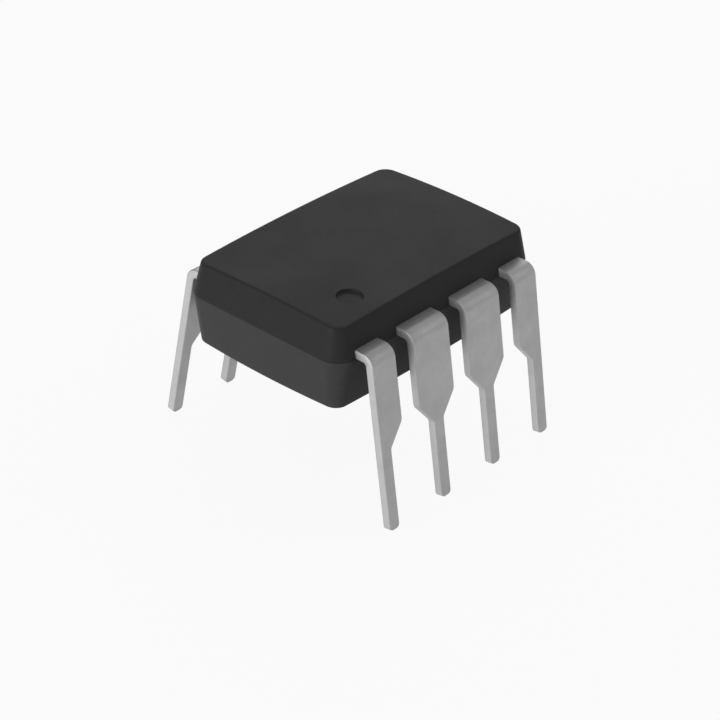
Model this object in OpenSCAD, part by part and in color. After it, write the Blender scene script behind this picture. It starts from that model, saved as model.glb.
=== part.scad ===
// Eight-lead dual in-line package: a moulded plastic body around a lead frame
// that carries a silicon die, which fine wires join to the eight leads.
// The origin lies on the plane of the lead tips, under the middle of the body.
// X runs along the body, the two lead rows face -Y and +Y, and Z is up.
// All sizes are in millimetres and all angles in degrees.

/* [Lead rows] */
// Distance between neighbouring leads in a row
lead_pitch = 2.54; // [2.4:0.01:2.8]
// Distance between the two rows where the leads turn down, at mid-thickness
row_spacing = 7.62; // [7.4:0.01:9]
// How far the legs lean outwards from upright
splay_angle = 10.2; // [0:0.1:15]
// Height of the parting plane of the body above the lead tips
parting_height = 5.73; // [5:0.01:7]

/* [Leads] */
// Thickness of the lead metal
lead_t = 0.3; // [0.2:0.01:0.36]
// Inside radius of the bend at the top of a leg
bend_r = 0.13; // [0.05:0.01:0.3]
// Width of the shoulder, the wide upper part of a lead
shoulder_w = 1.68; // [1.2:0.01:1.8]
// Width of the pin, the narrow lower part of a lead
pin_w = 0.44; // [0.36:0.01:0.56]
// Length of the pin, from its tip to the taper
pin_len = 2.78; // [2:0.01:3]
// Length of the taper between the pin and the shoulder
taper_len = 0.74; // [0.3:0.01:1]
// Rounding where the shoulder starts to taper
shoulder_round = 0.3; // [0:0.01:0.5]
// Rounding where the taper runs out into the pin
pin_round = 0.2; // [0:0.01:0.5]
// Rounding of the two corners of the tip
tip_round = 0.15; // [0:0.01:0.18]

/* [Moulded body] */
// Distance from the middle of an end lead to the end of the body, at the parting plane
end_margin = 1.0; // [0.8:0.01:1.4]
// Width of the body at the parting plane
body_w = 6.62; // [6.1:0.01:6.9]
// Height of the body above the parting plane
upper_h = 1.19; // [1:0.01:2]
// Depth of the body below the parting plane
lower_h = 1.85; // [1:0.01:2.4]
// How far the top stands in from the parting plane on every side
upper_inset = 0.25; // [0:0.01:0.4]
// How far the base stands in from the parting plane on every side
lower_inset = 0.26; // [0:0.01:0.4]
// Radius of the upright corners at the parting plane
corner_r = 0.7; // [0.5:0.01:0.9]
// Rounding of the edge round the top
top_edge_r = 0.1; // [0:0.01:0.2]
// Rounding of the edge round the base
base_edge_r = 0.08; // [0:0.01:0.2]

/* [First lead mark] */
// Diameter of the round recess in the top that marks the first lead
mark_d = 0.86; // [0.5:0.01:1.4]
// Depth of the recess
mark_depth = 0.09; // [0.02:0.01:0.25]
// Distance from the end of the body to the middle of the recess, at the parting plane
mark_from_end = 1.96; // [1.3:0.01:2.6]
// Distance from the side of the body to the middle of the recess, at the parting plane
mark_from_side = 1.35; // [1.2:0.01:2.6]

/* [Lead frame inside the body] */
// Length of the paddle under the die
paddle_l = 3.2; // [2.4:0.01:3.4]
// Width of the paddle under the die
paddle_w = 2.5; // [1.9:0.01:2.7]
// How far the paddle is pressed down below the level of the leads
paddle_drop = 0.3; // [0:0.01:0.4]
// Width of the two bars that hold the paddle
bar_w = 0.4; // [0.2:0.01:0.6]
// Length along a bar of its slope up from the paddle
bar_slope = 0.4; // [0.2:0.01:0.8]
// Plastic left between the end of a bar and the end of the body
bar_cover = 0.4; // [0.2:0.01:0.8]
// Gap between the paddle with its bars and the fingers of the leads
finger_gap = 0.3; // [0.15:0.01:0.4]
// Width of a finger where a wire lands on it
finger_w = 0.6; // [0.4:0.01:0.8]
// How far the shoulder reaches into the body before it narrows to a finger
anchor_len = 0.6; // [0.3:0.01:0.8]
// Distance over which an end finger runs beside the paddle before it turns out
end_run = 0.7; // [0.6:0.01:0.8]
// How much sooner the inner side of an end finger turns out than its outer side
end_turn_lead = 0.42; // [0.3:0.01:0.5]

/* [Die] */
// Length of the silicon die
die_l = 2.0; // [1.4:0.01:2.3]
// Width of the silicon die
die_w = 1.6; // [1.2:0.01:1.8]
// Thickness of the silicon die
die_t = 0.28; // [0.15:0.01:0.35]
// Thickness of the adhesive under the die
attach_t = 0.03; // [0.01:0.01:0.06]
// How far the adhesive stands out round the die
attach_margin = 0.06; // [0:0.01:0.1]

/* [Bond wires] */
// Diameter of a wire
wire_d = 0.04; // [0.02:0.01:0.06]
// Diameter of the ball on the die and of the foot on the finger
ball_d = 0.1; // [0.08:0.01:0.14]
// Height of the ball and of the foot
ball_h = 0.03; // [0.02:0.01:0.05]
// Radius of the bend at the top of a wire
wire_bend_r = 0.12; // [0.08:0.01:0.2]
// Slope of a wire as it runs down to its finger
wire_slope = 20; // [15:1:25]
// Distance of a ball from the edge of the die
pad_inset = 0.14; // [0.08:0.01:0.2]
// Distance of a ball from the middle line of the die
pad_offset = 0.45; // [0.3:0.01:0.55]
// Distance of a foot from the end of its finger
foot_inset = 0.2; // [0.1:0.01:0.3]

/* [Hidden] */
$fn = 48;

// Number of leads in a row, which fixes the layout of the fingers
row_count = 4;
// Number of straight steps in a rounded corner of an outline
round_steps = 6;
// How far a cutting shape reaches past the surface that it cuts
cut_margin = 0.1;

row_l = (row_count - 1) * lead_pitch;
body_l = row_l + 2 * end_margin;
top_z = parting_height + upper_h;
base_z = parting_height - lower_h;
corner_x = body_l / 2 - corner_r;
corner_y = body_w / 2 - corner_r;

lead_top_z = parting_height + lead_t;
bend_y = row_spacing / 2 - (bend_r + lead_t / 2) * tan((90 - splay_angle) / 2);
bend_z = parting_height - bend_r;
leg_len = (bend_z + bend_r * sin(splay_angle)) / cos(splay_angle);
taper_end = leg_len - pin_len;
taper_start = taper_end - taper_len;

anchor_y = body_w / 2 - anchor_len;
finger_end_x = paddle_l / 2 + finger_gap;
finger_end_y = paddle_w / 2 + finger_gap;
end_finger_y = bar_w / 2 + finger_gap;

paddle_z = parting_height - paddle_drop;
attach_z = paddle_z + lead_t;
die_z = attach_z + attach_t;
die_top_z = die_z + die_t;
bar_end_x = body_l / 2 - bar_cover;
bar_slope_x = finger_end_x - finger_gap;

// Unit vector along v
function unit(v) = v / norm(v);

// Arc that rounds corner p of an outline between its neighbours a and b.
// The radius is limited by the shorter of the two straight edges.
function rounded_corner(p, a, b, radius) =
    let (
        to_a = unit(a - p),
        to_b = unit(b - p),
        half = acos(to_a * to_b) / 2,
        room = min(norm(a - p), norm(b - p)) / 2,
        r = min(radius, room * tan(half)),
        centre = p + unit(to_a + to_b) * r / sin(half),
        start = p + to_a * r / tan(half) - centre,
        first = atan2(start.y, start.x),
        sweep = -sign(cross(to_a, to_b)) * (180 - 2 * half)
    )
    [for (i = [0:round_steps])
        let (angle = first + sweep * i / round_steps)
        centre + r * [cos(angle), sin(angle)]];

// Closed outline through corners [x, y, radius], each rounded by its radius
function rounded_outline(corners) =
    [for (i = [0:len(corners) - 1])
        let (
            count = len(corners),
            c = corners[i],
            a = corners[(i + count - 1) % count],
            b = corners[(i + 1) % count]
        )
        each c[2] > 0
            ? rounded_corner([c.x, c.y], [a.x, a.y], [b.x, b.y], c[2])
            : [[c.x, c.y]]];

// Side of the body as [distance, height, radius], from the base to the top,
// where the distance is counted outwards from a corner axis
function body_side(offset) = [
    [offset + corner_r - lower_inset, base_z, base_edge_r],
    [offset + corner_r, parting_height, 0],
    [offset + corner_r - upper_inset, top_z, top_edge_r]
];

function mirrored(corners) =
    [for (i = [len(corners) - 1:-1:0]) [-corners[i].x, corners[i].y, corners[i][2]]];

// Quarter of a drafted cone, rounded at its base and top, about one corner axis
module body_corner() {
    rotate_extrude(angle = 90)
        polygon(rounded_outline(concat([[0, base_z, 0]], body_side(0), [[0, top_z, 0]])));
}

// Bar of the body's own section, which runs along Y between two corner axes
module body_bar(half_span, length) {
    rotate([90, 0, 0])
        linear_extrude(length, center = true)
            polygon(rounded_outline(concat(body_side(half_span), mirrored(body_side(half_span)))));
}

module body_blank() {
    for (corner = [[1, 1, 0], [-1, 1, 90], [-1, -1, 180], [1, -1, 270]])
        translate([corner.x * corner_x, corner.y * corner_y, 0])
            rotate(corner.z)
                body_corner();
    body_bar(corner_x, 2 * corner_y);
    rotate(90)
        body_bar(corner_y, 2 * corner_x);
}

// Recess in the top beside the first lead
module first_lead_mark() {
    translate([mark_from_end - body_l / 2, mark_from_side - body_w / 2, top_z - mark_depth])
        cylinder(d = mark_d, h = mark_depth + cut_margin);
}

// The mould compound fills every space round the lead frame, die and wires
module moulded_body() {
    color("#3a3a3b")
        difference() {
            body_blank();
            first_lead_mark();
            for (n = [1:2 * row_count]) {
                lead(n);
                bond_wire(n);
            }
            die_paddle();
            die_attach();
            silicon_die();
        }
}

// Leads count anticlockwise from above, starting at the marked corner.
// The column is the place in the row, counted along X from the marked end.
function column(n) = n <= row_count ? n - 1 : 2 * row_count - n;
function lead_x(n) = abs(column(n) - (row_count - 1) / 2) * lead_pitch;
function at_end(n) = column(n) == 0 || column(n) == row_count - 1;
function x_side(n) = column(n) < row_count / 2 ? -1 : 1;
function y_side(n) = n <= row_count ? -1 : 1;

// Carries a shape drawn for +X and +Y to the quarter where lead n stands
module in_quarter(n) {
    scale([x_side(n), y_side(n), 1])
        children();
}

// Sides of the shoulder: an end lead has no shoulder towards the end of the body
function shoulder_in(n) = lead_x(n) - shoulder_w / 2;
function shoulder_out(n) = lead_x(n) + (at_end(n) ? pin_w : shoulder_w) / 2;

// Finger of an end lead, which turns in beside the end of the paddle
function end_finger(n) = [
    [shoulder_in(n), bend_y],
    [shoulder_in(n), anchor_y],
    [finger_end_x + end_run - end_turn_lead, end_finger_y + finger_w],
    [finger_end_x, end_finger_y + finger_w],
    [finger_end_x, end_finger_y],
    [finger_end_x + end_run, end_finger_y],
    [shoulder_out(n), anchor_y],
    [shoulder_out(n), bend_y]
];

// Finger of a middle lead, which runs straight in to the side of the paddle
function middle_finger(n) =
    let (narrow_y = anchor_y - (shoulder_w - finger_w) / 2)
    [
        [shoulder_in(n), bend_y],
        [shoulder_in(n), anchor_y],
        [lead_x(n) - finger_w / 2, narrow_y],
        [lead_x(n) - finger_w / 2, finger_end_y],
        [lead_x(n) + finger_w / 2, finger_end_y],
        [lead_x(n) + finger_w / 2, narrow_y],
        [shoulder_out(n), anchor_y],
        [shoulder_out(n), bend_y]
    ];

// Outline of the finger with y counted from the bend, so that it meets the bend exactly
function finger_outline(n) =
    [for (p = at_end(n) ? end_finger(n) : middle_finger(n)) [p.x, p.y - bend_y]];

// Leg below the bend: shoulder, taper and pin, with y counted down from the bend
function leg_outline(n) =
    let (
        pin_in = lead_x(n) - pin_w / 2,
        pin_out = lead_x(n) + pin_w / 2,
        straight_side = [[pin_out, -leg_len, tip_round], [pin_out, 0, 0]],
        tapered_side = [
            [pin_out, -leg_len, tip_round],
            [pin_out, -taper_end, pin_round],
            [shoulder_out(n), -taper_start, shoulder_round],
            [shoulder_out(n), 0, 0]
        ]
    )
    concat(
        [
            [shoulder_in(n), 0, 0],
            [shoulder_in(n), -taper_start, shoulder_round],
            [pin_in, -taper_end, pin_round],
            [pin_in, -leg_len, tip_round]
        ],
        at_end(n) ? straight_side : tapered_side
    );

// Arc about the middle of the bend
function bend_arc(radius, first, last) =
    [for (i = [0:round_steps])
        let (angle = first + (last - first) * i / round_steps)
        radius * [cos(angle), sin(angle)]];

// Section of the strip through the bend and down the leg, to a little past the tip
function strip_section() =
    let (
        outward = [cos(splay_angle), sin(splay_angle)],
        past_tip = (leg_len + cut_margin) * [sin(splay_angle), -cos(splay_angle)]
    )
    concat(
        bend_arc(bend_r, 90, splay_angle),
        [bend_r * outward + past_tip, (bend_r + lead_t) * outward + past_tip],
        bend_arc(bend_r + lead_t, splay_angle, 90)
    );

// What is stamped away beside one side of the leg and below its tip. It is drawn from
// that side of the shoulder, which it meets exactly, to a little past the lead's middle.
module stamped_away(n, side_x) {
    width = abs(side_x - lead_x(n)) + 2 * cut_margin;
    length = leg_len + 2 * cut_margin;
    translate([side_x, 0, 0])
        rotate([splay_angle, 0, 0])
            translate([0, bend_r + lead_t + cut_margin, 0])
                rotate([90, 0, 0])
                    linear_extrude(lead_t + 2 * cut_margin)
                        translate([-side_x, 0])
                            difference() {
                                translate([(side_x + lead_x(n)) / 2, -length / 2])
                                    square([width, length], center = true);
                                polygon(rounded_outline(leg_outline(n)));
                            }
}

// One stamped and bent strip of lead metal
module lead(n) {
    color("#b4b5b6")
        in_quarter(n)
            translate([0, bend_y, bend_z]) {
                translate([0, 0, bend_r])
                    linear_extrude(lead_t)
                        polygon(finger_outline(n));
                difference() {
                    translate([shoulder_in(n), 0, 0])
                        rotate([90, 0, 90])
                            linear_extrude(shoulder_out(n) - shoulder_in(n))
                                polygon(strip_section());
                    stamped_away(n, shoulder_in(n));
                    stamped_away(n, shoulder_out(n));
                }
            }
}

// Half of a paddle bar seen from the side, from the paddle out to its end
function bar_half(z_shift) = [
    [bar_slope_x, paddle_z + z_shift, 0],
    [bar_slope_x + bar_slope, parting_height + z_shift, 0],
    [bar_end_x, parting_height + z_shift, 0]
];

// Plate that carries the die, with the two bars that hold it
module die_paddle() {
    low = bar_half(0);
    high = bar_half(lead_t);
    right = concat(low, [for (i = [2:-1:0]) high[i]]);
    color("#b5713f") {
        translate([-paddle_l / 2, -paddle_w / 2, paddle_z])
            cube([paddle_l, paddle_w, lead_t]);
        rotate([90, 0, 0])
            linear_extrude(bar_w, center = true)
                polygon(rounded_outline(concat(right, mirrored(right))));
    }
}

// Plate centred on the body, used for the adhesive and for the die
module centred_plate(size, z) {
    translate([-size.x / 2, -size.y / 2, z])
        cube(size);
}

module die_attach() {
    color("#cfcfca")
        centred_plate([die_l + 2 * attach_margin, die_w + 2 * attach_margin, attach_t], attach_z);
}

module silicon_die() {
    color("#4a4c58")
        centred_plate([die_l, die_w, die_t], die_z);
}

// Places of the ball on the die and of the foot on the finger of lead n
function ball_place(n) = at_end(n)
    ? [die_l / 2 - pad_inset, pad_offset]
    : [pad_offset, die_w / 2 - pad_inset];
function foot_place(n) = at_end(n)
    ? [finger_end_x + foot_inset, end_finger_y + finger_w / 2]
    : [lead_x(n), finger_end_y + foot_inset];

// Wire that rises from the die, bends over and slopes down to a finger.
// It is drawn from the ball at the origin towards +X, over the given span.
module wire_loop(span) {
    run = (span - wire_bend_r * (1 + sin(wire_slope))) / cos(wire_slope);
    foot_z = lead_top_z - die_top_z;
    neck = foot_z - wire_bend_r * cos(wire_slope) + run * sin(wire_slope);
    cylinder(d = wire_d, h = neck);
    translate([wire_bend_r, 0, neck])
        rotate([-90, 0, 0])
            rotate(180)
                rotate_extrude(angle = 90 + wire_slope)
                    translate([wire_bend_r, 0])
                        circle(d = wire_d);
    difference() {
        translate([wire_bend_r, 0, neck])
            rotate([0, wire_slope, 0])
                translate([0, 0, wire_bend_r])
                    rotate([0, 90, 0])
                        cylinder(d = wire_d, h = run + cut_margin);
        translate([0, -ball_d, foot_z - 2 * cut_margin])
            cube([span + 2 * cut_margin, 2 * ball_d, 2 * cut_margin]);
    }
    translate([span, 0, foot_z])
        cylinder(d = ball_d, h = ball_h);
}

module bond_wire(n) {
    ball = ball_place(n);
    reach = foot_place(n) - ball;
    color("#d9b24a")
        in_quarter(n)
            translate([ball.x, ball.y, die_top_z])
                rotate(atan2(reach.y, reach.x)) {
                    cylinder(d = ball_d, h = ball_h);
                    wire_loop(norm(reach));
                }
}

moulded_body();
for (n = [1:2 * row_count]) {
    lead(n);
    bond_wire(n);
}
die_paddle();
die_attach();
silicon_die();
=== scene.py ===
import math

import bmesh
import bpy
from mathutils import Matrix, Vector


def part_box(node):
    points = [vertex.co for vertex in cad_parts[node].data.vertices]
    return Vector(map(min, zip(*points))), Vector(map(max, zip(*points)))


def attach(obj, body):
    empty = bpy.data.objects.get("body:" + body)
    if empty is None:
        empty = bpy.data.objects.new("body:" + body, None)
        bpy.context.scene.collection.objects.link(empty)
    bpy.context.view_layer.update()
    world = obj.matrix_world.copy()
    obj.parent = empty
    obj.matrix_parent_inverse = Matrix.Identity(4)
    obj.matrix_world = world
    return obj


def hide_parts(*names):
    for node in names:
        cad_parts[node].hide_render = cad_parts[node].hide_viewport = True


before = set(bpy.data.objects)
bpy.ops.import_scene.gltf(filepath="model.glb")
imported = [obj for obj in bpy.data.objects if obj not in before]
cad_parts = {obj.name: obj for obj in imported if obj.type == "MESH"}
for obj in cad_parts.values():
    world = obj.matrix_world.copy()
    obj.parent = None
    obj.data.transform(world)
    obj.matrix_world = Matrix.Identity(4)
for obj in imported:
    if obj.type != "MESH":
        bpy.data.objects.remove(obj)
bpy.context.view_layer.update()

# Every size below is in millimetres, as the object was measured
MM = 0.001


def node_box(name):
    """Lowest and highest corner of a node, in millimetres."""
    low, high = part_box(name)
    return Vector(low) / MM, Vector(high) / MM


# Leads: a strip of metal, stamped and bent
LEAD_COUNT = 8
LEADS_IN_ROW = 4
LEAD_T = 0.3
BEND_R = 0.13
SHOULDER_W = 1.68
PIN_W = 0.44
PIN_LEN = 2.78
TAPER_LEN = 0.74
SHOULDER_ROUND = 0.3
PIN_ROUND = 0.2
TIP_ROUND = 0.15
SPLAY = math.radians(10.2)
EDGE_BREAK = 0.032

# Fingers: the parts of the leads inside the body
ANCHOR_LEN = 0.6
FINGER_W = 0.6
FINGER_END_X = 1.9
FINGER_END_Y = 1.55
END_FINGER_Y = 0.5
END_RUN = 0.7
END_TURN_LEAD = 0.42

# Moulded body: its heights over and under the parting plane, how far its drafted faces
# lean in, and how far its edges bow out in the middle
CORNER_R = 0.69
UPPER_H = 1.095
LOWER_H = 1.797
TOP_INSET = 0.25
BASE_INSET = 0.255
TOP_EDGE_R = 0.095
BASE_EDGE_R = 0.08
TOP_BOW = 0.097
BASE_BOW = 0.053
TOP_PLAN_BOW = 0.015
BASE_PLAN_BOW = 0.049

# Dimple beside lead 1, by its distance from the end and the side of the body
MARK_FROM_END = 1.96
MARK_FROM_SIDE = 1.35
MARK_R = 0.43
MARK_DEPTH = 0.09
MARK_RIM = 0.06
MARK_LIP = 0.02

# Fineness of the lead meshes
ROUND_STEPS = 8
BEND_STEPS = 14
EDGE_BREAK_STEPS = 3
# Edges of a blank that turn by less than this are parts of one rounding
SMOOTH_TURN = math.radians(30)
# Points closer than this lie on one plane
SAME_PLANE = 1e-5
# Material slots of a lead
PLATE = 0
CUT_EDGE = 1

# Rings of each stretch of the body mesh. Those of the top crowd towards the dimple
DIMPLE_RINGS = 6
TOP_RINGS = 26
TOP_RING_CROWDING = 1.3
EDGE_RINGS = 6
SIDE_RINGS = 8
BASE_RINGS = 18
# Sides and corners of a ring
LOOP_PARTS = 8
# Points round each ring, picked from many samples. The shares say how many of them follow
# the length of the sides, the roundings of the corners and the turn round the dimple
LOOP_POINTS = 320
LOOP_SAMPLES = 6400
SIDE_SHARE = 0.35
CORNER_SHARE = 0.25
DIMPLE_SHARE = 1 - CORNER_SHARE - SIDE_SHARE

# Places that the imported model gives
body_low, body_high = node_box("moulded_body")
lead_low, lead_high = node_box("lead_1")
HALF_L = (body_high.x - body_low.x) / 2
HALF_W = (body_high.y - body_low.y) / 2
PARTING_Z = lead_high.z - LEAD_T
PITCH = node_box("lead_3")[0].x - node_box("lead_2")[0].x

# Bend and leg of a lead, on the +Y side
BEND_Z = PARTING_Z - BEND_R
BEND_TURN = math.pi / 2 - SPLAY
BEND_LEN = BEND_TURN * (BEND_R + LEAD_T / 2)
LEG_END_Y = max(abs(lead_low.y), abs(lead_high.y))
LEG_LEN = (BEND_Z + BEND_R * math.sin(SPLAY)) / math.cos(SPLAY)
BEND_Y = LEG_END_Y - (BEND_R + LEAD_T) * math.cos(SPLAY) - LEG_LEN * math.sin(SPLAY)


def new_object(name, data):
    piece = bpy.data.objects.new(name, data)
    bpy.context.scene.collection.objects.link(piece)
    return piece


def mesh_from(bm, name):
    """Turns a bmesh in millimetres into a smooth mesh in metres."""
    bmesh.ops.recalc_face_normals(bm, faces=bm.faces)
    data = bpy.data.meshes.new(name)
    bm.to_mesh(data)
    bm.free()
    data.transform(Matrix.Scale(MM, 4))
    for polygon in data.polygons:
        polygon.use_smooth = True
    return data


def keep_faces_flat(piece):
    """Shades the broad flat faces flat and lets only the small roundings turn."""
    modifier = piece.modifiers.new("flat faces", "WEIGHTED_NORMAL")
    modifier.weight = 100
    modifier.keep_sharp = True


def lead_place(number):
    """Column of a lead in its row, and the sides of the body where it stands."""
    column = number - 1 if number <= LEADS_IN_ROW else LEAD_COUNT - number
    x_side = -1 if column < LEADS_IN_ROW / 2 else 1
    y_side = -1 if number <= LEADS_IN_ROW else 1
    return column, x_side, y_side


def rounded_corner(p, a, b, radius):
    """Arc that rounds corner p of an outline between its neighbours a and b."""
    to_a, to_b = (a - p).normalized(), (b - p).normalized()
    half = to_a.angle(to_b) / 2
    room = min((a - p).length, (b - p).length) / 2
    r = min(radius, room * math.tan(half))
    centre = p + (to_a + to_b).normalized() * r / math.sin(half)
    start = p + to_a * r / math.tan(half) - centre
    turn = math.pi - 2 * half
    sweep = -math.copysign(turn, to_a.x * to_b.y - to_a.y * to_b.x)
    points = []
    for i in range(ROUND_STEPS + 1):
        angle = sweep * i / ROUND_STEPS
        c, s = math.cos(angle), math.sin(angle)
        points.append(centre + Vector((start.x * c - start.y * s, start.x * s + start.y * c)))
    return points


def rounded_outline(corners):
    """Closed outline through corners (x, y, radius), each rounded by its radius."""
    points = []
    for i, (x, y, radius) in enumerate(corners):
        p = Vector((x, y))
        a = Vector(corners[i - 1][:2])
        b = Vector(corners[(i + 1) % len(corners)][:2])
        points += rounded_corner(p, a, b, radius) if radius else [p]
    return points


def lead_blank(number):
    """Outline of a lead as it is stamped, before it is bent: x along the body, and
    y along the strip from the start of the bend, for the quarter on +X and +Y."""
    column, _, _ = lead_place(number)
    middle = abs(column - (LEADS_IN_ROW - 1) / 2) * PITCH
    at_end = column in (0, LEADS_IN_ROW - 1)
    inner = middle - SHOULDER_W / 2
    outer = middle + (PIN_W if at_end else SHOULDER_W) / 2
    anchor = HALF_W - ANCHOR_LEN - BEND_Y
    tip = BEND_LEN + LEG_LEN
    taper_end = tip - PIN_LEN
    taper_start = taper_end - TAPER_LEN
    if at_end:
        near = END_FINGER_Y - BEND_Y
        far = near + FINGER_W
        finger = [
            (outer, anchor, 0),
            (FINGER_END_X + END_RUN, near, 0),
            (FINGER_END_X, near, 0),
            (FINGER_END_X, far, 0),
            (FINGER_END_X + END_RUN - END_TURN_LEAD, far, 0),
            (inner, anchor, 0),
        ]
    else:
        near = FINGER_END_Y - BEND_Y
        narrow = anchor - (SHOULDER_W - FINGER_W) / 2
        finger = [
            (outer, anchor, 0),
            (middle + FINGER_W / 2, narrow, 0),
            (middle + FINGER_W / 2, near, 0),
            (middle - FINGER_W / 2, near, 0),
            (middle - FINGER_W / 2, narrow, 0),
            (inner, anchor, 0),
        ]
    inner_leg = [
        (inner, taper_start, SHOULDER_ROUND),
        (middle - PIN_W / 2, taper_end, PIN_ROUND),
        (middle - PIN_W / 2, tip, TIP_ROUND),
    ]
    outer_leg = [(middle + PIN_W / 2, tip, TIP_ROUND)]
    if not at_end:
        outer_leg += [
            (middle + PIN_W / 2, taper_end, PIN_ROUND),
            (outer, taper_start, SHOULDER_ROUND),
        ]
    return rounded_outline(finger + inner_leg + outer_leg)


def bent(point):
    """Place of a point of the flat strip once it is bent. z is counted from its underside."""
    x, along, up = point
    radius = BEND_R + up
    if along <= 0:
        return Vector((x, BEND_Y + along, BEND_Z + radius))
    angle = math.pi / 2 - min(along / BEND_LEN, 1) * BEND_TURN
    past = max(along - BEND_LEN, 0)
    return Vector((
        x,
        BEND_Y + radius * math.cos(angle) + past * math.sin(SPLAY),
        BEND_Z + radius * math.sin(angle) - past * math.cos(SPLAY),
    ))


def cut_across(bm, along):
    """Cuts the strip with a plane across it, so that it can bend there."""
    bmesh.ops.bisect_plane(
        bm, geom=bm.verts[:] + bm.edges[:] + bm.faces[:], dist=SAME_PLANE,
        plane_co=(0, along, 0), plane_no=(0, 1, 0))


def lead_mesh(number):
    """One lead: stamped from the outline, its edges broken, then bent."""
    bm = bmesh.new()
    base = bm.faces.new([bm.verts.new((p.x, p.y, 0)) for p in lead_blank(number)])
    made = bmesh.ops.extrude_face_region(bm, geom=[base])
    top = [v for v in made["geom"] if isinstance(v, bmesh.types.BMVert)]
    bmesh.ops.translate(bm, verts=top, vec=(0, 0, LEAD_T))
    bmesh.ops.recalc_face_normals(bm, faces=bm.faces)
    rims = [e for e in bm.edges if abs(e.verts[0].co.z - e.verts[1].co.z) < SAME_PLANE]
    corners = [e for e in bm.edges if e not in rims and e.calc_face_angle() > SMOOTH_TURN]
    for face in bm.faces:
        level = abs(face.normal.z) > 0.5
        face.material_index = PLATE if level else CUT_EDGE
    bmesh.ops.bevel(bm, geom=rims + corners, offset=EDGE_BREAK, segments=EDGE_BREAK_STEPS,
                    profile=0.5, affect="EDGES", clamp_overlap=True)
    for i in range(BEND_STEPS + 1):
        cut_across(bm, BEND_LEN * i / BEND_STEPS)
    _, x_side, y_side = lead_place(number)
    for v in bm.verts:
        place = bent(v.co)
        v.co = Vector((place.x * x_side, place.y * y_side, place.z))
    return mesh_from(bm, f"lead_{number}_mesh")


def loop_point(t, half_l, half_w, radius, bow):
    """Point of a rounded rectangle with bowed sides. t runs from 0 to LOOP_PARTS round
    it, and each side, and each corner after a side, takes 1 of it."""
    quarter, share = int(t) // 2, t % 2
    x_sign, y_sign = ((1, 1), (-1, 1), (-1, -1), (1, -1))[quarter]
    along_x = quarter % 2 == 1
    half_run, half_out = (half_l, half_w) if along_x else (half_w, half_l)
    if share < 1:
        place = 2 * share - 1
        run = place * (half_run - radius)
        out = half_out + bow * (1 - place ** 2)
    else:
        angle = (share - 1) * math.pi / 2
        run = half_run - radius + radius * math.sin(angle)
        out = half_out - radius + radius * math.cos(angle)
    x, y = (run, out) if along_x else (out, run)
    return Vector((x_sign * x, y_sign * y))


def loop_steps(centre):
    """Values of t for the points of each ring, which suit both the rings round the
    dimple at centre and the outline of the body."""
    samples = [LOOP_PARTS * i / LOOP_SAMPLES for i in range(LOOP_SAMPLES)]
    points = [loop_point(t, HALF_L, HALF_W, CORNER_R, 0) for t in samples]
    weights = []
    for i, t in enumerate(samples):
        point, following = points[i], points[(i + 1) % LOOP_SAMPLES]
        a, b = point - centre, following - centre
        turn = abs(math.atan2(a.x * b.y - a.y * b.x, a.dot(b))) / (2 * math.pi)
        length = (following - point).length / (4 * (HALF_L + HALF_W))
        corner = 1 / (LOOP_SAMPLES / 2) if t % 2 >= 1 else 0
        weights.append(DIMPLE_SHARE * turn + SIDE_SHARE * length + CORNER_SHARE * corner)
    total, reached, steps = sum(weights), 0, []
    for t, weight in zip(samples, weights):
        if reached >= total * len(steps) / LOOP_POINTS and len(steps) < LOOP_POINTS:
            steps.append(t)
        reached += weight
    return steps


def rounded_edge(inset, rise, radius, plan_bow, bow):
    """The rings round an edge, from the flat face to the drafted one, as the values that
    body_rings gives to its ring. rise is the flat face's height over the parting plane."""
    span = math.acos(inset / math.hypot(inset, rise))
    values = []
    for i in range(EDGE_RINGS + 1):
        angle = span * i / EDGE_RINGS
        inward = inset + radius * (math.tan(span / 2) - math.sin(angle))
        drop = math.copysign(radius * (1 - math.cos(angle)), rise)
        values.append((inward, plan_bow, PARTING_Z + rise - drop, bow))
    return values


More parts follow.
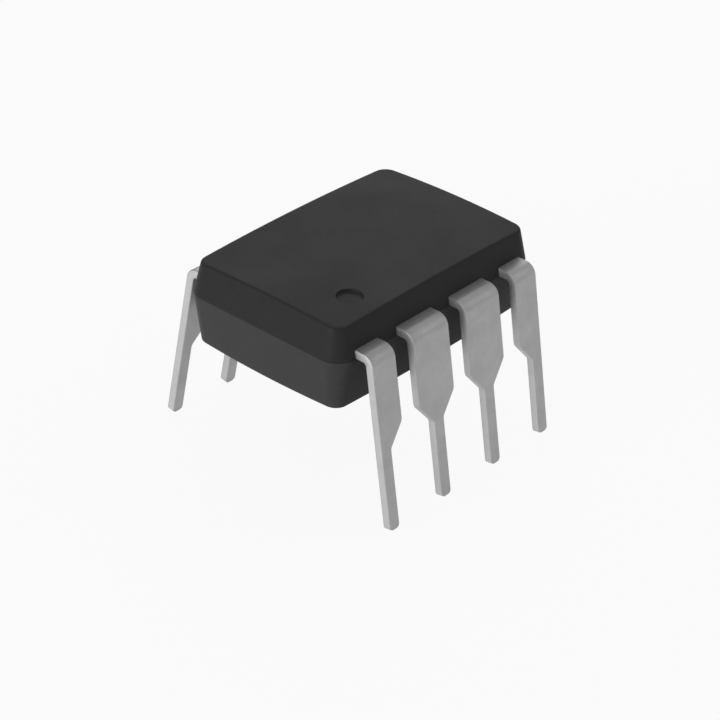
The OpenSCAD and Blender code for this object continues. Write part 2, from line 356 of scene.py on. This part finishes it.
def body_rings(mark):
    """Rings of the body from the middle of the dimple, over the top, down the sides and
    in under the base, as functions of t that give a point, with the point that closes
    the mesh before the first ring and the one after the last."""
    top_z, base_z = PARTING_Z + UPPER_H, PARTING_Z - LOWER_H

    def crown(p, inset):
        """Share of the bow at a point: 1 along both middle lines, and 0 in the corners."""
        length_share = min(abs(p.x) / (HALF_L - inset), 1)
        width_share = min(abs(p.y) / (HALF_W - inset), 1)
        return 1 - length_share ** 2 * width_share ** 2

    def ring(inset, plan_bow, height, bow):
        def at(t):
            p = loop_point(t, HALF_L - inset, HALF_W - inset, CORNER_R - inset, plan_bow)
            return Vector((p.x, p.y, height + bow * crown(p, inset)))
        return at

    def on_top(p, sunk=0.0):
        return Vector((p.x, p.y, top_z + TOP_BOW * crown(p, TOP_INSET) - sunk))

    def dimple_ring(radius, sunk):
        def at(t):
            outer = loop_point(t, HALF_L, HALF_W, CORNER_R, 0)
            return on_top(mark + (outer - mark).normalized() * radius, sunk)
        return at

    def top_ring(inner, outer, share):
        def at(t):
            return on_top(inner(t).lerp(outer(t), share))
        return at

    def base_ring(outer, share):
        def at(t):
            p = outer(t) * share
            return Vector((p.x, p.y, base_z - BASE_BOW * crown(p, BASE_INSET)))
        return at

    def drafted_rings(start, end):
        shares = [i / SIDE_RINGS for i in range(1, SIDE_RINGS + 1)]
        return [ring(*(a * (1 - share) + b * share for a, b in zip(start, end)))
                for share in shares]

    # Floor of the dimple, the rounding up to its wall and its lip
    floor_r = MARK_R - MARK_RIM
    quarter_turns = [math.pi / 2 * i / EDGE_RINGS for i in range(EDGE_RINGS + 1)]
    rings = [dimple_ring(floor_r * i / DIMPLE_RINGS, MARK_DEPTH)
             for i in range(1, DIMPLE_RINGS + 1)]
    for angle in quarter_turns[1:]:
        rings.append(dimple_ring(floor_r + MARK_RIM * math.sin(angle),
                                 MARK_DEPTH - MARK_RIM * (1 - math.cos(angle))))
    for angle in quarter_turns:
        rings.append(dimple_ring(MARK_R + MARK_LIP * (1 - math.cos(angle)),
                                 MARK_LIP * (1 - math.sin(angle))))

    # Top, drafted faces and base
    top_edge = rounded_edge(TOP_INSET, UPPER_H, TOP_EDGE_R, TOP_PLAN_BOW, TOP_BOW)
    base_edge = rounded_edge(BASE_INSET, -LOWER_H, BASE_EDGE_R, BASE_PLAN_BOW, -BASE_BOW)
    parting = (0, 0, PARTING_Z, 0)
    lip, top_rim, base_rim = rings[-1], ring(*top_edge[0]), ring(*base_edge[0])
    for i in range(1, TOP_RINGS):
        rings.append(top_ring(lip, top_rim, (i / TOP_RINGS) ** TOP_RING_CROWDING))
    rings += [ring(*values) for values in top_edge]
    rings += drafted_rings(top_edge[-1], parting)
    rings += drafted_rings(parting, base_edge[-1])
    rings += [ring(*values) for values in reversed(base_edge[:-1])]
    for i in range(1, BASE_RINGS):
        rings.append(base_ring(base_rim, 1 - i / BASE_RINGS))
    return on_top(mark, MARK_DEPTH), rings, Vector((0, 0, base_z - BASE_BOW))


def body_mesh():
    """The moulded body as one closed grid of rings round the dimple."""
    mark = Vector((MARK_FROM_END - HALF_L, MARK_FROM_SIDE - HALF_W))
    start, rings, end = body_rings(mark)
    steps = loop_steps(mark)
    bm = bmesh.new()
    loops = [[bm.verts.new(ring(t)) for t in steps] for ring in rings]
    first = bm.verts.new(start)
    last = bm.verts.new(end)
    count = len(steps)
    for i in range(count):
        j = (i + 1) % count
        bm.faces.new((first, loops[0][i], loops[0][j]))
        bm.faces.new((last, loops[-1][j], loops[-1][i]))
        for a, b in zip(loops, loops[1:]):
            bm.faces.new((a[i], b[i], b[j], a[j]))
    return mesh_from(bm, "moulded_body_mesh")


class Shader:
    """A node material, built from short calls."""

    # Sockets of a colour mix, which has unused ones of the same names before them
    MIX_A = 6
    MIX_B = 7
    MIX_RESULT = 2

    def __init__(self, name):
        self.material = bpy.data.materials.new(name)
        self.material.use_nodes = True
        self.nodes = self.material.node_tree.nodes
        self.links = self.material.node_tree.links
        self.nodes.clear()
        self.output = self.nodes.new("ShaderNodeOutputMaterial")

    def node(self, kind, **values):
        """New node. Each value goes to the property or else the input of its name."""
        made = self.nodes.new(kind)
        for key, value in values.items():
            if key in made.bl_rna.properties:
                setattr(made, key, value)
            else:
                made.inputs[key.replace("_", " ")].default_value = value
        return made

    def link(self, source, target):
        self.links.new(source, target)

    def place(self):
        """Position on the object, in metres."""
        return self.node("ShaderNodeTexCoord").outputs["Object"]

    def noise(self, scale, detail, roughness=0.5):
        """Noise on the object, with its scale in cells to a metre."""
        made = self.node("ShaderNodeTexNoise", Scale=scale, Detail=detail, Roughness=roughness)
        self.link(self.place(), made.inputs["Vector"])
        return made.outputs["Fac"]

    def ramp(self, factor, *stops):
        """Two stops, each a position with a colour or a plain number."""
        made = self.nodes.new("ShaderNodeValToRGB")
        for element, (position, value) in zip(made.color_ramp.elements, stops):
            element.position = position
            rgb = value if isinstance(value, tuple) else (value,) * 3
            element.color = (*rgb, 1)
        self.link(factor, made.inputs["Fac"])
        return made.outputs["Color"]

    def above(self, height, below_it, above_it):
        """Takes one colour below a height on the object, in metres, and another above it."""
        split = self.node("ShaderNodeSeparateXYZ")
        self.link(self.place(), split.inputs["Vector"])
        higher = self.node("ShaderNodeMath", operation="GREATER_THAN")
        higher.inputs[1].default_value = height
        self.link(split.outputs["Z"], higher.inputs[0])
        mix = self.node("ShaderNodeMix", data_type="RGBA")
        self.link(higher.outputs[0], mix.inputs["Factor"])
        self.link(below_it, mix.inputs[self.MIX_A])
        self.link(above_it, mix.inputs[self.MIX_B])
        return mix.outputs[self.MIX_RESULT]

    def times(self, value, factor):
        made = self.node("ShaderNodeMath", operation="MULTIPLY")
        made.inputs[1].default_value = factor
        self.link(value, made.inputs[0])
        return made.outputs[0]

    def plus(self, first, second):
        made = self.node("ShaderNodeMath", operation="ADD")
        self.link(first, made.inputs[0])
        self.link(second, made.inputs[1])
        return made.outputs[0]

    def bump(self, height, strength, distance, normal=None):
        """Bumps of a height, in metres, on the plain surface or on other bumps."""
        made = self.node("ShaderNodeBump", Strength=strength, Distance=distance)
        self.link(height, made.inputs["Height"])
        if normal:
            self.link(normal, made.inputs["Normal"])
        return made.outputs["Normal"]

    def surface(self, colour, rough=None, normal=None, **values):
        made = self.node("ShaderNodeBsdfPrincipled", **values)
        self.link(colour, made.inputs["Base Color"])
        if rough:
            self.link(rough, made.inputs["Roughness"])
        if normal:
            self.link(normal, made.inputs["Normal"])
        self.link(made.outputs["BSDF"], self.output.inputs["Surface"])
        return self.material


# Heights of the bumps in the materials, in metres
BROAD_BUMP = 0.00001
FINE_BUMP = 0.000004


def mould_compound():
    """Dark filled epoxy with the fine grain of an eroded mould. Below the parting plane it is
    painted lighter, as painted light from the floor on the lower half."""
    s = Shader("mould_compound")
    broad = s.noise(450, 3)
    grain = s.noise(26000, 3, 0.6)
    filler = s.noise(9000, 4, 0.65)
    upper = s.ramp(filler, (0.3, (0.031, 0.031, 0.0316)), (0.7, (0.036, 0.036, 0.0367)))
    # Lighter grey below the parting plane: painted light, standing in for the light from the floor
    # on the lower faces
    lower_painted_floor_light = s.ramp(filler, (0.3, (0.057, 0.057, 0.0581)), (0.7, (0.064, 0.064, 0.0653)))
    colour = s.above(PARTING_Z * MM, lower_painted_floor_light, upper)
    rough = s.ramp(broad, (0.3, 0.42), (0.7, 0.5))
    normal = s.bump(filler, 0.25, BROAD_BUMP)
    normal = s.bump(grain, 0.35, FINE_BUMP, normal)
    return s.surface(colour, rough, normal, Metallic=0.0, Specular_IOR_Level=0.1)


def tinned_metal(name, dark, light):
    """Dull tin plate with a faint mottle, between a dark and a light grey."""
    s = Shader(name)
    mottle = s.noise(1500, 5, 0.6)
    fine = s.noise(14000, 4, 0.6)
    colour = s.ramp(mottle, (0.3, (dark, dark, dark + 0.003)), (0.7, (light, light, light + 0.003)))
    rough = s.ramp(fine, (0.3, 0.5), (0.7, 0.58))
    normal = s.bump(mottle, 0.2, BROAD_BUMP)
    normal = s.bump(fine, 0.3, FINE_BUMP, normal)
    return s.surface(colour, rough, normal, Metallic=1.0)


def rolled_copper():
    """Stamped copper alloy with a satin, streaky face."""
    s = Shader("paddle_copper")
    streak = s.noise(2500, 4)
    colour = s.ramp(streak, (0.3, (0.58, 0.28, 0.16)), (0.7, (0.68, 0.36, 0.22)))
    normal = s.bump(streak, 0.2, BROAD_BUMP)
    return s.surface(colour, normal=normal, Metallic=1.0, Roughness=0.38)


def silver_epoxy():
    """Grey adhesive full of silver flakes."""
    s = Shader("die_adhesive")
    flakes = s.noise(20000, 4)
    colour = s.ramp(flakes, (0.35, (0.42, 0.42, 0.4)), (0.65, (0.62, 0.62, 0.6)))
    normal = s.bump(flakes, 0.3, BROAD_BUMP)
    return s.surface(colour, normal=normal, Metallic=0.0, Roughness=0.6)


def silicon():
    """Die with the faint grid of its circuit blocks."""
    s = Shader("silicon")
    blocks = s.node("ShaderNodeTexBrick", Scale=2600.0, Mortar_Size=0.03)
    s.link(s.place(), blocks.inputs["Vector"])
    colour = s.ramp(blocks.outputs["Fac"], (0.0, (0.05, 0.06, 0.09)), (1.0, (0.13, 0.13, 0.16)))
    return s.surface(colour, Metallic=0.0, Roughness=0.2)


def gold():
    """Bright bond wire."""
    s = Shader("gold_wire")
    shade = s.noise(30000, 3)
    colour = s.ramp(shade, (0.3, (0.8, 0.55, 0.2)), (0.7, (0.9, 0.66, 0.28)))
    return s.surface(colour, Metallic=1.0, Roughness=0.25)


# Floor, just under the tips of the leads
FLOOR_HALF = 300.0
FLOOR_DROP = 0.002
FLOOR_COLOUR = (0.86, 0.86, 0.86, 1)
# Share of even white in the floor, as the camera sees it and as reflections do
GLOW_SEEN = 0.92
GLOW_MIRRORED = 0.42


def backdrop_white():
    """Plain white. The camera sees it as nearly even white with the object's faint
    shadow, and reflections see it as it is lit, with some of that white."""
    s = Shader("floor_white")
    plain = s.node("ShaderNodeBsdfDiffuse", Color=FLOOR_COLOUR)
    glow = s.node("ShaderNodeEmission", Color=(1, 1, 1, 1), Strength=1.0)
    path = s.node("ShaderNodeLightPath")
    share = s.plus(s.times(path.outputs["Is Camera Ray"], GLOW_SEEN),
                   s.times(path.outputs["Is Glossy Ray"], GLOW_MIRRORED))
    mix = s.node("ShaderNodeMixShader")
    s.link(share, mix.inputs["Fac"])
    s.link(plain.outputs[0], mix.inputs[1])
    s.link(glow.outputs[0], mix.inputs[2])
    s.link(mix.outputs[0], s.output.inputs["Surface"])
    return s.material


def floor():
    bm = bmesh.new()
    corners = ((-1, -1), (1, -1), (1, 1), (-1, 1))
    bm.faces.new([bm.verts.new((x * FLOOR_HALF, y * FLOOR_HALF, -FLOOR_DROP))
                  for x, y in corners])
    piece = new_object("floor", mesh_from(bm, "floor_mesh"))
    piece.data.materials.append(backdrop_white())


def direction(azimuth, elevation):
    """Unit vector from the object towards a camera or a lamp, by its angles in degrees."""
    a, e = math.radians(azimuth), math.radians(elevation)
    return Vector((math.sin(a) * math.cos(e), -math.cos(a) * math.cos(e), math.sin(e)))


# Camera: solved from the edges of the leads and the body in the photograph
AZIMUTH = -49.592
ELEVATION = 32.388
ROLL = 2.148
DISTANCE = 74.366
AIM = Vector((-0.3665, -0.3525, 2.7298))
FOCAL_PX = 2257.47
IMAGE_PX = 720
SENSOR = 36.0
# Nearest and farthest distance that the camera sees, in metres
CLIP_START = 0.001
CLIP_END = 10.0


def camera():
    """The camera at the photograph's place, turned by its roll."""
    back = direction(AZIMUTH, ELEVATION)
    level = math.radians(AZIMUTH)
    right = Vector((math.cos(level), math.sin(level), 0))
    up = back.cross(right)
    c, s = math.cos(math.radians(ROLL)), math.sin(math.radians(ROLL))
    turned_right = right * c + up * s
    turned_up = up * c - right * s
    data = bpy.data.cameras.new("camera")
    data.sensor_width = SENSOR
    data.lens = FOCAL_PX / IMAGE_PX * SENSOR
    data.clip_start = CLIP_START
    data.clip_end = CLIP_END
    made = new_object("camera", data)
    axes = Matrix((turned_right, turned_up, back)).transposed()
    made.matrix_world = Matrix.Translation((AIM + back * DISTANCE) * MM) @ axes.to_4x4()
    bpy.context.scene.camera = made


# Point that the lamps look at
LAMP_AIM = Vector((0, 0, 4))
# Light of the room on the object, and how white the camera sees the room behind the floor
ROOM_LIGHT = 0.36
ROOM_SEEN = 0.95


def lamp(name, azimuth, elevation, distance, size, power):
    """Square soft lamp that looks at the object from a direction given as for the camera."""
    back = direction(azimuth, elevation)
    data = bpy.data.lights.new(name, "AREA")
    data.size = size * MM
    data.energy = power
    made = new_object(name, data)
    turned = back.to_track_quat("Z", "Y").to_matrix().to_4x4()
    made.matrix_world = Matrix.Translation((LAMP_AIM + back * distance) * MM) @ turned


def room():
    """The world: white, dimmer on the object than the camera sees it."""
    world = bpy.data.worlds.new("room")
    bpy.context.scene.world = world
    world.use_nodes = True
    nodes, links = world.node_tree.nodes, world.node_tree.links
    background = nodes["Background"]
    background.inputs["Color"].default_value = (1, 1, 1, 1)
    path = nodes.new("ShaderNodeLightPath")
    level = nodes.new("ShaderNodeMapRange")
    level.inputs["To Min"].default_value = ROOM_LIGHT
    level.inputs["To Max"].default_value = ROOM_SEEN
    links.new(path.outputs["Is Camera Ray"], level.inputs["Value"])
    links.new(level.outputs["Result"], background.inputs["Strength"])


def studio():
    """Soft studio light: a pale room, a lamp low on the left, one behind the object for the
    sheen of its top, and a fill on the right for the bends of the leads."""
    lamp("left_lamp", azimuth=-95, elevation=12, distance=160, size=80, power=0.106)
    lamp("sheen_lamp", azimuth=130, elevation=35, distance=170, size=100, power=0.041)
    lamp("fill_lamp", azimuth=50, elevation=33, distance=170, size=100, power=0.019)
    room()


def refinish(name, material):
    """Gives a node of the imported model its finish."""
    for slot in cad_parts[name].material_slots:
        slot.material = material


camera()
floor()
studio()

plate = tinned_metal("tinned_lead", 0.52, 0.6)
# Cut edges painted a lighter grey than the faces: painted light, standing in for the light from the
# left that catches them
edge_tin_painted_light = tinned_metal("tinned_edge_painted_light", 0.68, 0.76)
for number in range(1, LEAD_COUNT + 1):
    lead = new_object(f"stamped_lead_{number}", lead_mesh(number))
    lead.data.materials.append(plate)
    lead.data.materials.append(edge_tin_painted_light)
    keep_faces_flat(lead)
    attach(lead, "root")
    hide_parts(f"lead_{number}")

body = new_object("package_body", body_mesh())
body.data.materials.append(mould_compound())
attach(body, "root")
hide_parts("moulded_body")

refinish("die_paddle", rolled_copper())
refinish("die_attach", silver_epoxy())
refinish("silicon_die", silicon())
wire_gold = gold()
for number in range(1, LEAD_COUNT + 1):
    refinish(f"bond_wire_{number}", wire_gold)

bpy.context.scene.view_settings.view_transform = "Standard"
